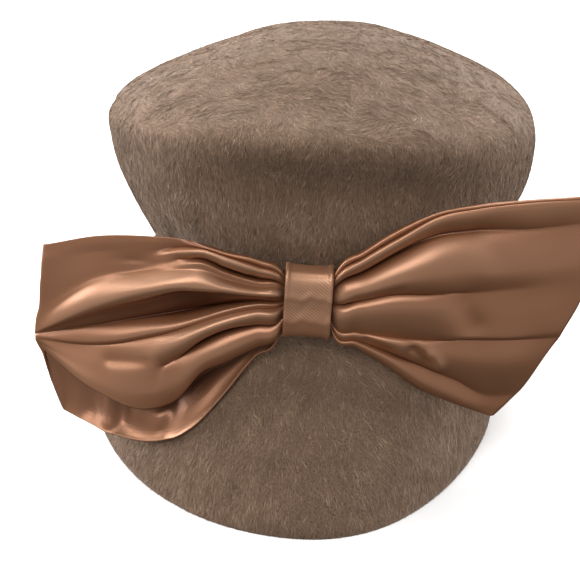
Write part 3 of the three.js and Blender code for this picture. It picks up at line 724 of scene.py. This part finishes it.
def loopPiece(loop, seed):
    front = loopLayer(loop["front"], loop["stations"], satin["frontGather"], satin["across"])
    back = loopLayer(loop["back"], loop["stations"], satin["backGather"], satin["backAcross"])
    addMarks(front, loop["frontMarks"])
    addMarks(back, loop["backMarks"])
    spots = np.linspace(0, back.shape[1] - 1, front.shape[1])
    index = np.clip(spots.astype(int), 0, back.shape[1] - 2)
    share = (spots - index)[None, :, None]
    back = (back[:, index] * (1 - share) + back[:, index + 1] * share)[::-1]
    turn = []
    for step in range(1, satin["turnSteps"]):
        angle = step / satin["turnSteps"] * math.pi
        share = (1 - math.cos(angle)) / 2
        bulge = np.array([satin["endBulge"] * math.sin(angle), 0, 0])
        turn.append(front[-1] + (back[0] - front[-1]) * share + bulge)
    grid = np.concatenate([front, np.array(turn), back])
    # painted light from the folds: painted shade in the hollows, a painted highlight on the crests; the back
    # layers are painted darker still, painted shade behind the front layers
    paintedLights = paintedLightFromFolds(grid, satin["paintedLightSpread"], satin["paintedLightDepth"])
    paintedLights[len(front):] *= satin["backPaintedShade"]
    reach, height, lift = grid[..., 0], grid[..., 1], grid[..., 2]
    x = pattern["knotX"] + loop["side"] * reach
    z = pattern["knotHeight"] + height
    flat = np.stack([x, np.zeros_like(x), z], -1).reshape(-1, 3)
    crinkle = satin["crinkle"] * softNoise(flat, satin["crinkleWave"], seed).reshape(x.shape)
    smoothAtKnot = np.clip((reach - satin["crinkleFrom"]) / satin["crinkleFade"], 0, 1)
    y = -(pattern["bowBase"] + lift) + pattern["wrapBack"] * reach ** 2 - crinkle * smoothAtKnot
    points = toHat(np.stack([x, y, z], -1).reshape(-1, 3)).reshape(grid.shape)
    if loop["side"] > 0:        # the front faces forward on both sides
        points, paintedLights = points[:, ::-1], paintedLights[:, ::-1]
    piece = clothGrid(loop["name"], points, bowSatin)
    setPaintedLight(piece, paintedLights)
    thicken(piece, satin["thickness"])
    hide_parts(loop["node"])
    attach(piece, "root")
    print(loop["name"], "cloth", *(round(size, 4) for size in clothSize(points)))
    return piece


def clothSize(points):
    # mean and greatest width across the folds, then mean and greatest length, measured along the cloth
    wide = np.linalg.norm(np.diff(points, axis=1), axis=2).sum(1)
    long = np.linalg.norm(np.diff(points, axis=0), axis=2).sum(0)
    return wide.mean(), wide.max(), long.mean(), long.max()


rightPiece = loopPiece(rightLoop, 11)
leftPiece = loopPiece(leftLoop, 12)
print("loops made")


# Knot and waist band

knot = {
    "wall": 1.0, "pinch": 0.5, "around": 160, "across": 40, "square": 4.5, "hem": 0.45, "hemPlace": 0.455,
    "hemWidth": 0.03, "flat": (0.020, 0.086), "shadeMiddle": 0.7, "shadeSpread": 0.4, "shadeReach": 12,
    # cross wrinkles: height, how thick, how far out, how much they wave, and where the wave starts
    "wrinkles": [(4.9, 1.7, 0.40, 0.7, 0.4), (-5.2, 1.9, 0.40, 0.6, 1.9), (-0.4, 2.2, -0.20, 0.6, 1.2)],
}


def knotPiece():
    # satin wrapped round the gathers, with cross wrinkles in front and a turned hem at each side
    halfTall = pattern["knotTall"] / 2 - knot["wall"] / 2
    halfDeep = (pattern["knotFront"] - pattern["knotBack"]) / 2 - knot["wall"] / 2
    middleY = -(pattern["knotFront"] + pattern["knotBack"]) / 2
    angles = np.linspace(0, 2 * math.pi, knot["around"] + 1)
    path = np.array([roundedBox(angle, halfDeep, halfTall) for angle in angles])
    shares = np.linspace(-0.5, 0.5, knot["across"] + 1)
    grid = []
    for share in shares:
        pinch = knot["pinch"] * (1 - 4 * share ** 2)
        hem = knot["hem"] * math.exp(-((abs(share) - knot["hemPlace"]) / knot["hemWidth"]) ** 2)
        scale = 1 - (pinch - hem) / halfTall
        y, z = path[:, 0] * scale, path[:, 1] * scale
        front = np.clip(-path[:, 0] / halfDeep, 0, 1) ** 4
        for height, thick, out, wavy, start in knot["wrinkles"]:
            wave = wavy * (math.sin(share * 9 + start) + 0.6 * math.sin(share * 19 + 2 * start))
            y = y - out * np.exp(-((z - height - wave) / thick) ** 2) * front * (1 - 0.35 * abs(share))
        x = np.full_like(y, pattern["knotX"] + share * pattern["knotWide"])
        grid.append(np.stack([x, middleY + y, pattern["knotHeight"] + z], -1))
    points = toHat(np.array(grid).transpose(1, 0, 2).reshape(-1, 3)).reshape(len(angles), len(shares), 3)
    piece = clothGrid("bow_knot_band", points[:, ::-1], knotSatin)
    # painted light and shade on the knot, set on each point
    setPaintedLight(piece, np.tile(knotPaintedLight(path, halfDeep)[:, None], len(shares)))
    mergeDoubles(piece)
    thicken(piece, knot["wall"] * mm)
    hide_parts("bow_knot")
    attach(piece, "root")
    print("knot cloth", *(round(size, 4) for size in clothSize(points)))
    return piece


def knotPaintedLight(path, halfDeep):
    # painted light on the upper part of the knot's front, painted shade at its foot
    front = np.clip(-path[:, 0] / halfDeep, 0, 1) ** 4
    upper = np.clip(0.5 + path[:, 1] / knot["shadeReach"], -1, 1)
    return knot["shadeMiddle"] + knot["shadeSpread"] * front * upper


def roundedBox(angle, halfDeep, halfTall):
    # a point of a rounded rectangle, from the front round over the top
    way = np.array([-math.cos(angle), math.sin(angle)])
    power = knot["square"]
    return way * (abs(way[0] / halfDeep) ** power + abs(way[1] / halfTall) ** power) ** (-1 / power)


def mergeDoubles(piece):
    makeActive(piece)
    bpy.ops.object.mode_set(mode="EDIT")
    bpy.ops.mesh.select_all(action="SELECT")
    bpy.ops.mesh.remove_doubles(threshold=0.00002)
    bpy.ops.object.mode_set(mode="OBJECT")


knotBand = knotPiece()

waist = {"radius": 0.09, "flat": (0.012, 0.535), "paintedFoldLight": 0.35}
waistBand = bpy.data.objects.new("waist_satin", frame["nodes"]["waist_band"].data.copy())
bpy.context.scene.collection.objects.link(waistBand)
mergeDoubles(waistBand)
waistBand.data.materials.clear()
waistBand.data.materials.append(bowSatin)
# the band is set at one value on the satin's painted-light scale, darker than the plain satin: painted shade
# under the crown's edge
setPaintedLight(waistBand, np.full(len(waistBand.data.vertices), waist["paintedFoldLight"]))
bandMap = waistBand.data.uv_layers.new(name="cloth")
for corner in waistBand.data.loops:
    spot = waistBand.data.vertices[corner.vertex_index].co
    bandMap.data[corner.index].uv = (math.atan2(spot.y - axisY, spot.x - axisX) * waist["radius"], spot.z)
bpy.ops.object.shade_smooth_by_angle(angle=math.radians(40))
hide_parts("waist_band")
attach(waistBand, "root")
print("knot and waist band made")


# Floor, light and camera

studio = {
    "floor": (0.86, 0.855, 0.85, 1), "key": 6.5, "front": 9.5, "left": 14, "right": 10, "back": 80,
    # brightness of the room from straight down (0) through level (0.5) to overhead (1)
    "room": [(0.0, 0.05), (0.20, 0.10), (0.34, 0.66), (0.5, 0.60), (0.66, 0.52), (0.86, 0.5), (1.0, 0.42)],
}
floorMaterial, nodes, links, shader = newMaterial("paleFloor")
shader.inputs["Base Color"].default_value = studio["floor"]
shader.inputs["Roughness"].default_value = 0.8
deselectAll()
bpy.ops.mesh.primitive_plane_add(size=8, location=(0, 2.2, 0))
floor = bpy.context.active_object
floor.name = "floor"
floor.data.materials.append(floorMaterial)
floor.visible_glossy = False        # the floor doesn't mirror in the satin, nor light the folds from below
floor.visible_diffuse = False

world = bpy.data.worlds.new("studio")
bpy.context.scene.world = world
world.use_nodes = True
roomNodes, roomLinks = world.node_tree.nodes, world.node_tree.links
direction = roomNodes.new("ShaderNodeTexCoord")
heightOnly = roomNodes.new("ShaderNodeSeparateXYZ")
zeroToOne = roomNodes.new("ShaderNodeMapRange")
zeroToOne.inputs["From Min"].default_value = -1
room = roomNodes.new("ShaderNodeValToRGB")
room.color_ramp.elements.remove(room.color_ramp.elements[1])
for index, (height, bright) in enumerate(studio["room"]):
    stop = room.color_ramp.elements[0] if index == 0 else room.color_ramp.elements.new(height)
    stop.position = height
    stop.color = (bright, bright, bright, 1)
roomLinks.new(direction.outputs["Generated"], heightOnly.inputs["Vector"])
roomLinks.new(heightOnly.outputs["Z"], zeroToOne.inputs["Value"])
roomLinks.new(zeroToOne.outputs["Result"], room.inputs["Fac"])
roomLinks.new(room.outputs["Color"], roomNodes["Background"].inputs["Color"])


def softLight(name, place, target, size, power):
    light = bpy.data.lights.new(name, "AREA")
    light.shape = "RECTANGLE"
    light.size, light.size_y = size
    light.energy = power
    lamp = bpy.data.objects.new(name, light)
    bpy.context.scene.collection.objects.link(lamp)
    lamp.location = place
    lamp.rotation_mode = "QUATERNION"
    lamp.rotation_quaternion = (Vector(target) - Vector(place)).to_track_quat("-Z", "Y")
    return lamp


softLight("keyLight", (-0.15, 0.12, 1.2), (0, 0.03, 0.1), (0.40, 0.50), studio["key"])
softLight("frontLight", (-0.40, -0.95, 0.95), (-0.02, -0.1, 0.1), (0.90, 0.50), studio["front"])
softLight("leftLight", (-1.0, 0.1, 0.3), (0, 0, 0.1), (0.5, 0.5), studio["left"])
softLight("rightLight", (1.0, 0.1, 0.3), (0, 0, 0.1), (0.5, 0.5), studio["right"])
softLight("backLight", (0, 1.7, 1.9), (0, 1.5, 0), (2.4, 1.6), studio["back"])

lens = {
    "distance": 503, "elevation": 25, "azimuth": 0.5, "roll": 3.2, "target": (-10.9, 0, 42.9),
    "pixels": 1000, "frame": 580, "sensor": 36,
}
tilt, around, roll = (math.radians(lens[key]) for key in ("elevation", "azimuth", "roll"))
back = Vector((math.sin(around) * math.cos(tilt), -math.cos(around) * math.cos(tilt), math.sin(tilt)))
right = (-back).cross(Vector((0, 0, 1))).normalized()
up = right.cross(-back)
rolledRight = right * math.cos(roll) + up * math.sin(roll)
rolledUp = up * math.cos(roll) - right * math.sin(roll)
camera = bpy.data.objects.new("camera", bpy.data.cameras.new("camera"))
bpy.context.scene.collection.objects.link(camera)
camera.data.sensor_width = lens["sensor"]
camera.data.lens = lens["pixels"] / lens["frame"] * lens["sensor"]
camera.data.clip_start = 0.01
place = Vector(toHat(np.array(lens["target"]) + np.array(back) * lens["distance"]))
camera.matrix_world = Matrix((
    (rolledRight.x, rolledUp.x, back.x, place.x),
    (rolledRight.y, rolledUp.y, back.y, place.y),
    (rolledRight.z, rolledUp.z, back.z, place.z),
    (0, 0, 0, 1),
))
bpy.context.scene.camera = camera
bpy.context.scene.view_settings.view_transform = "Standard"
print("studio made")
